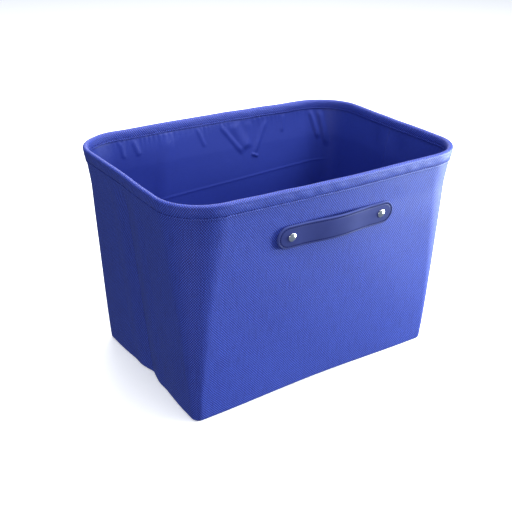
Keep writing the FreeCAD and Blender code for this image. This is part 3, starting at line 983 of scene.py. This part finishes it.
def ring_of(half, corner, inset, long_count, short_count, arc_count):
    """A rounded rectangle's outline, anticlockwise, drawn in by inset. Every ring has the same number
    of points, so that rings can be joined."""
    hx, hy = half[0] - inset, half[1] - inset
    r = max(corner - inset, 0.0)
    turn = np.linspace(0, np.pi / 2, arc_count)
    parts = []
    for cx, cy, start, count in (
        (hx - r, -hy + r, -np.pi / 2, short_count),
        (hx - r, hy - r, 0.0, long_count),
        (-hx + r, hy - r, np.pi / 2, short_count),
        (-hx + r, -hy + r, np.pi, long_count),
    ):
        arc = np.stack([cx + r * np.cos(start + turn), cy + r * np.sin(start + turn)], axis=-1)
        parts.append((arc, count))
    outline = []
    for k, (arc, count) in enumerate(parts):
        following = parts[(k + 1) % 4][0][0]
        run = np.linspace(arc[-1], following, count + 2)[1:-1]
        outline += [arc, run]
    return np.concatenate(outline)


def ringed(half, corner, profile, counts):
    """Points of a closed flat piece: its outline at each inset and height of the profile."""
    rings = np.array([ring_of(half, corner, inset, *counts) for inset, _ in profile])
    heights = np.broadcast_to(np.array(profile)[:, 1, None, None], rings.shape[:2] + (1,))
    return np.concatenate([rings, heights], axis=-1)


def rounded_profile(low, high, reach, dips=()):
    """A profile from the middle of the underside, round the edge and in to the middle of the face.
    dips are (inset, width, depth) grooves in the face."""
    edge = 0.35 * (high - low)
    turn = np.linspace(-np.pi / 2, np.pi / 2, 9)
    middle = (low + high) / 2
    rim = [(edge * (1 - np.cos(a)), middle + (high - low) / 2 * np.sin(a)) for a in turn]
    inner = np.concatenate([np.linspace(edge * 1.6, min(reach, 6 * MM), 12), [reach * 0.75, reach]])
    inner = np.unique(np.clip(inner, None, reach))
    face = [
        (inset, high - sum(depth * float(hump(inset - at, width)) for at, width, depth in dips))
        for inset in inner
    ]
    under = [(inset, low) for inset in inner[::-1]]
    return under + rim + face


STRAP_SEAM, STRAP_SEAM_WIDTH, STRAP_GROOVE = 2.4 * MM, 1.0 * MM, 0.40 * MM
STRAP_PITCH, STRAP_STITCH, STRAP_STITCH_RADIUS = 2.6 * MM, 1.8 * MM, 0.42 * MM
CUT_EDGE = 0.45 * MM


class AddStraps(bpy.types.Operator):
    """Add the two leather strap handles: a face and a backing each, sewn together round their edge"""

    bl_idname = "mesh.bin_straps"
    bl_label = "Strap handles"

    def execute(self, context):
        leather, thread = finish_of("smooth_leather"), finish_of("twisted_thread")
        half = (STRAP_HALF, STRAP_WIDTH / 2)
        counts = (90, 1, 10)
        layers = {
            "backing": rounded_profile(0.05 * MM, STRAP_BACKING, half[1] - POLE_GAP),
            "face": rounded_profile(
                STRAP_BACKING, STRAP_BACKING + STRAP_FACE, half[1] - POLE_GAP,
                ((STRAP_SEAM, STRAP_SEAM_WIDTH, STRAP_GROOVE),),
            ),
        }
        for side in ("front", "back"):
            for layer, profile in layers.items():
                flat = ringed(half, half[1], profile, counts)
                points = on_wall(flat, side == "back")
                faces = grid_faces(flat.shape[0], flat.shape[1], False, True)
                piece = add_piece(f"{side}_strap_{layer}_leather", points, faces, leather)
                inset = np.array(profile)[:, 0]
                # seam_line marks the stitch groove on the face, where the leather's colour is painted
                # darker as painted shade
                seam = hump(inset - STRAP_SEAM, 0.9 * MM) * (layer == "face")
                for key, values in (("cut_edge", inset < CUT_EDGE), ("seam_line", seam)):
                    attribute = piece.data.attributes.new(key, "FLOAT", "POINT")
                    spread = np.repeat(values, flat.shape[1]).astype(np.float32)
                    attribute.data.foreach_set("value", spread)
                weld(piece, 5e-5, outwards=True)
                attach(piece, BIN)
                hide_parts(f"{side}_strap_{layer}")
                "strap_leather" if layer == "face" else "strap_backing_leather"
            loop = ring_of(half, half[1], STRAP_SEAM, *counts)
            level = STRAP_BACKING + STRAP_FACE - 0.22 * MM
            line = np.column_stack([loop, np.full(len(loop), level)])
            centres = evenly(line, STRAP_PITCH, True)
            ahead = directions(centres, True)
            step = POLE_GAP
            places = on_wall(centres, side == "back")
            along = (on_wall(centres + ahead * step, side == "back") - places) / step
            lifted = centres + np.array([0.0, 0.0, step])
            out = (on_wall(lifted, side == "back") - places) / step
            along = along / np.linalg.norm(along, axis=1, keepdims=True)
            out = out / np.linalg.norm(out, axis=1, keepdims=True)
            name = f"{side}_strap_stitches"
            row = stitched(name, places, along, out, STRAP_STITCH, STRAP_STITCH_RADIUS, thread)
            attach(row, BIN)
        return {"FINISHED"}


ARCH_END_TO_CAP = 6.3 * MM
STRAP_OFF_WALL = 0.25 * MM


def wall_lean():
    """The long wall's lean out of upright, in radians."""
    return math.atan2(RIM_HALF[1] - sizes().flare - BASE_HALF[1], HEIGHT)


def on_wall(flat, back):
    """Places points drawn flat (x along the strap, y up it, z out of it) on the long wall, over the
    strap's arch: a hump along x that ends short of the rivets."""
    x, up, out = flat[..., 0], flat[..., 1], flat[..., 2]
    lean = wall_lean()
    arch_half = RIVET_X - CAP_RADIUS - ARCH_END_TO_CAP
    out = out + sizes().arch * hump(x, arch_half)
    wall = wall_half(STRAP_Z, 1) + long_bow(x, STRAP_Z) + STRAP_OFF_WALL
    y = -wall - out * math.cos(lean) - up * math.sin(lean)
    z = STRAP_Z + up * math.cos(lean) - out * math.sin(lean)
    points = np.stack([x, y, z], axis=-1)
    return half_turned(points) if back else points


def revolved(name, profile, turns, material):
    """One piece of four like shapes, one at each rivet: a closed profile of radius and height pairs
    turned round the rivet's axis."""
    turn = np.arange(turns) * 2 * np.pi / turns
    single = np.stack(
        [
            profile[:, :1] * np.cos(turn)[None],
            profile[:, :1] * np.sin(turn)[None],
            np.broadcast_to(profile[:, 1:], (len(profile), turns)),
        ],
        axis=-1,
    )
    shift = np.array([RIVET_X, 0.0, 0.0])
    points = np.array([
        on_wall(single + side * shift, back) for back in (False, True) for side in (-1, 1)
    ])
    one = grid_faces(len(profile), turns, False, True)
    faces = (one[None] + np.arange(4)[:, None, None] * len(profile) * turns).reshape(-1, 4)
    return weld(add_piece(name, points, faces, material), 2e-6, outwards=True)


class AddRivets(bpy.types.Operator):
    """Add the rivets, two on each strap: domed heads with tubes, pins with heads, and washers"""

    bl_idname = "mesh.bin_rivets"
    bl_label = "Rivets"

    def execute(self, context):
        metal = finish_of("bright_plating")
        top = STRAP_BACKING + STRAP_FACE - 0.02 * MM
        dome = np.linspace(0, 1, 9)[:-1]
        head = [(t * CAP_RADIUS * 0.86, top + (2.3 - 1.35 * t**2.2) * MM) for t in dome]
        head += [
            (CAP_RADIUS * 0.90, top + 0.80 * MM), (CAP_RADIUS * 0.96, top + 0.74 * MM),
            (CAP_RADIUS, top + 0.48 * MM), (CAP_RADIUS * 0.985, top + 0.12 * MM),
            (CAP_RADIUS * 0.93, top), (1.9 * MM, top), (1.9 * MM, -2.4 * MM), (1.33 * MM, -2.4 * MM),
            (1.33 * MM, top - 0.4 * MM), (0.0, top - 0.4 * MM),
        ]
        bore, rim, side = 2.05 * MM, 6.3 * MM, 6.5 * MM
        near, far = -2.70 * MM, -3.08 * MM
        washer = [
            (bore, near), (rim, near), (side, -2.80 * MM), (side, -3.00 * MM),
            (rim, far), (bore, far), (bore, near),
        ]
        pin = [
            (0.0, top - 0.6 * MM), (1.1 * MM, top - 0.6 * MM), (1.3 * MM, top - 0.9 * MM),
            (1.3 * MM, -3.12 * MM), (3.9 * MM, -3.12 * MM), (4.2 * MM, -3.25 * MM),
            (4.1 * MM, -3.5 * MM), (3.4 * MM, -3.68 * MM), (0.0, -3.70 * MM),
        ]
        for name, node, profile, turns in (
            ("rivet_heads", "rivet_caps", head, 40),
            ("rivet_tacks", "rivet_pins", pin, 28),
            ("rivet_rings", "rivet_washers", washer, 36),
        ):
            piece = revolved(name, np.array(profile), turns, metal)
            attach(piece, BIN)
            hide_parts(node)
        return {"FINISHED"}


COVER_CORNER, COVER_TURNED_UNDER = 6 * MM, 22 * MM
COVER_EDGE, COVER_CROWN, BOARD_ROOM = 0.9 * MM, 0.25 * MM, 0.02 * MM


class AddBaseInsert(bpy.types.Operator):
    """Add the base insert's cloth cover, with soft edges and its turned-under edge"""

    bl_idname = "mesh.bin_base_insert"
    bl_label = "Base insert"

    def execute(self, context):
        half = tuple(INSERT_HIGH[:2])
        low, high = INSERT_LOW[2], INSERT_HIGH[2]
        cover = INSERT_BOARD_LOW[2] - INSERT_LOW[2]
        turned = COVER_TURNED_UNDER
        reach = half[1] - POLE_GAP
        inner_low, inner_high = INSERT_BOARD_LOW[2] - BOARD_ROOM, INSERT_BOARD_HIGH[2] + BOARD_ROOM
        round_edge = [
            (COVER_EDGE * (1 - math.cos(a)), (low + high) / 2 + (high - low) / 2 * math.sin(a))
            for a in np.linspace(-np.pi / 2, np.pi / 2, 11)
        ]
        insets = np.concatenate([np.linspace(2 * MM, 20 * MM, 6), np.linspace(30 * MM, reach, 9)])
        top = [(inset, high + COVER_CROWN * float(hump(inset - reach, reach))) for inset in insets]
        under_top = [(inset, inner_high) for inset in (reach, 40 * MM, 10 * MM, 1.2 * MM)]
        under = [(cover, inner_high - cover), (cover, inner_low + cover), (1.2 * MM, inner_low)]
        fold_end = [(turned, inner_low), (turned + 0.3 * MM, (inner_low + low) / 2), (turned, low)]
        profile = round_edge + top + under_top + under + fold_end + [(12 * MM, low), (2 * MM, low)]
        flat = ringed(half, COVER_CORNER, profile, (60, 36, 9))
        bands = grid_faces(flat.shape[0], flat.shape[1], True, True).reshape(flat.shape[0], -1, 4)
        across_middle = len(round_edge) + len(top) - 1
        faces = np.delete(bands, across_middle, axis=0).reshape(-1, 4)
        piece = add_piece("insert_cover_cloth", flat, faces, finish_of("lining_cloth"))
        weld(piece, 3e-5, outwards=True)
        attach(piece, INSERT)
        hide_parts("insert_cover")
        cut = tuple(2 * (half[k] + (high - low) / 2 + turned) for k in range(2))
        return {"FINISHED"}


class FinishHiddenParts(bpy.types.Operator):
    """Give the insert's board, which is kept as it is, its card"""

    bl_idname = "mesh.bin_hidden_parts"
    bl_label = "Hidden parts"

    def execute(self, context):
        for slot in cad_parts["insert_board"].material_slots:
            slot.material = finish_of("pressed_card")
        return {"FINISHED"}


# The stage


CAMERA_AT = (-0.5034, -0.7091, 0.5292)
CAMERA_TO = (-0.0304, -0.0187, 0.1267)
CAMERA_ROLL = math.radians(1.07)
CAMERA_LENS = 56.64
FLOOR_REACH = 9.0
SURROUNDINGS, SURROUNDINGS_STRENGTH = (0.62, 0.76, 1.0, 1.0), 0.28
BIN_MIDDLE = (0.0, 0.0, 0.12)
KEY_TINT = (0.88, 1.0, 0.95)
# Each light's name, place, aim, size, power and tint
LIGHTS = (
    ("key_softbox", (0.95, -0.42, 0.14), (0.10, -0.12, 0.14), (0.5, 0.4), 34.0, KEY_TINT),
    ("fill_softbox", (-1.10, -0.95, 0.36), BIN_MIDDLE, (0.7, 0.6), 7.0, (1.0, 1.0, 1.0)),
    ("high_softbox", (0.90, -0.70, 1.10), BIN_MIDDLE, (0.6, 0.6), 10.0, (1.0, 1.0, 1.0)),
    ("back_softbox", (0.70, 1.40, 0.90), BIN_MIDDLE, (1.0, 1.0), 14.0, (1.0, 1.0, 1.0)),
    ("overhead_softbox", (0.5, -0.1, 2.4), (0.0, 0.0, 0.0), (2.2, 2.2), 100.0, (1.0, 1.0, 1.0)),
)


def soft_light(name, at, to, size, power, tint):
    """A square studio softbox at one place, turned to another."""
    data = bpy.data.lights.new(name, "AREA")
    data.shape = "RECTANGLE"
    data.size, data.size_y = size
    data.energy = power
    data.color = tint
    light = bpy.data.objects.new(name, data)
    light.location = at
    aim = Vector(to) - Vector(at)
    light.rotation_euler = aim.to_track_quat("-Z", "Y").to_euler()
    bpy.context.scene.collection.objects.link(light)


class SetStage(bpy.types.Operator):
    """Set the stage: pale floor, soft lights, pale surroundings and the camera"""

    bl_idname = "scene.bin_stage"
    bl_label = "Stage"

    def execute(self, context):
        scene = context.scene
        spots = FLOOR_REACH * np.array([[-1, -1, 0], [1, -1, 0], [1, 1, 0], [-1, 1, 0]])
        floor = add_piece("studio_floor", spots, [[0, 1, 2, 3]], finish_of("pale_floor"))
        floor.visible_glossy = False
        floor.visible_diffuse = False

        world = bpy.data.worlds.new("pale_surroundings")
        world.use_nodes = True
        background = world.node_tree.nodes["Background"]
        background.inputs["Color"].default_value = SURROUNDINGS
        background.inputs["Strength"].default_value = SURROUNDINGS_STRENGTH
        scene.world = world

        for light in LIGHTS:
            soft_light(*light)

        lens = bpy.data.cameras.new("camera")
        lens.sensor_width = 36.0
        lens.lens = CAMERA_LENS
        camera = bpy.data.objects.new("camera", lens)
        camera.location = CAMERA_AT
        aim = Vector(CAMERA_TO) - Vector(CAMERA_AT)
        turn = aim.to_track_quat("-Z", "Y").to_matrix()
        roll = Matrix.Rotation(CAMERA_ROLL, 3, "Z")
        camera.rotation_euler = (turn @ roll).to_euler()
        scene.collection.objects.link(camera)
        scene.camera = camera
        scene.view_settings.view_transform = "Standard"
        return {"FINISHED"}


class BinPanel(bpy.types.Panel):
    """The storage bin's pieces and their sizes and colours"""

    bl_idname = "VIEW3D_PT_storage_bin"
    bl_label = "Storage bin"
    bl_space_type = "VIEW_3D"
    bl_region_type = "UI"
    bl_category = "Storage Bin"

    def draw(self, context):
        for group in (context.scene.bin_sizes, context.scene.bin_colours):
            box = self.layout.box()
            for key in group.bl_rna.properties.keys():
                if key not in ("rna_type", "name"):
                    box.prop(group, key)
        for operator in OPERATORS:
            self.layout.operator(operator.bl_idname)


OPERATORS = (
    AddOuterCloth,
    AddStiffeners,
    AddLining,
    AddRim,
    AddBaseInsert,
    AddStraps,
    AddRivets,
    FinishHiddenParts,
    SetStage,
)
CLASSES = (BinSizes, BinColours, *OPERATORS, BinPanel)


def register():
    for kind in CLASSES:
        bpy.utils.register_class(kind)
    bpy.types.Scene.bin_sizes = PointerProperty(type=BinSizes)
    bpy.types.Scene.bin_colours = PointerProperty(type=BinColours)


def unregister():
    del bpy.types.Scene.bin_colours
    del bpy.types.Scene.bin_sizes
    for kind in reversed(CLASSES):
        bpy.utils.unregister_class(kind)


def main():
    register()
    for operator in OPERATORS:
        group, name = operator.bl_idname.split(".")
        getattr(getattr(bpy.ops, group), name)()


if __name__ == "__main__":
    main()
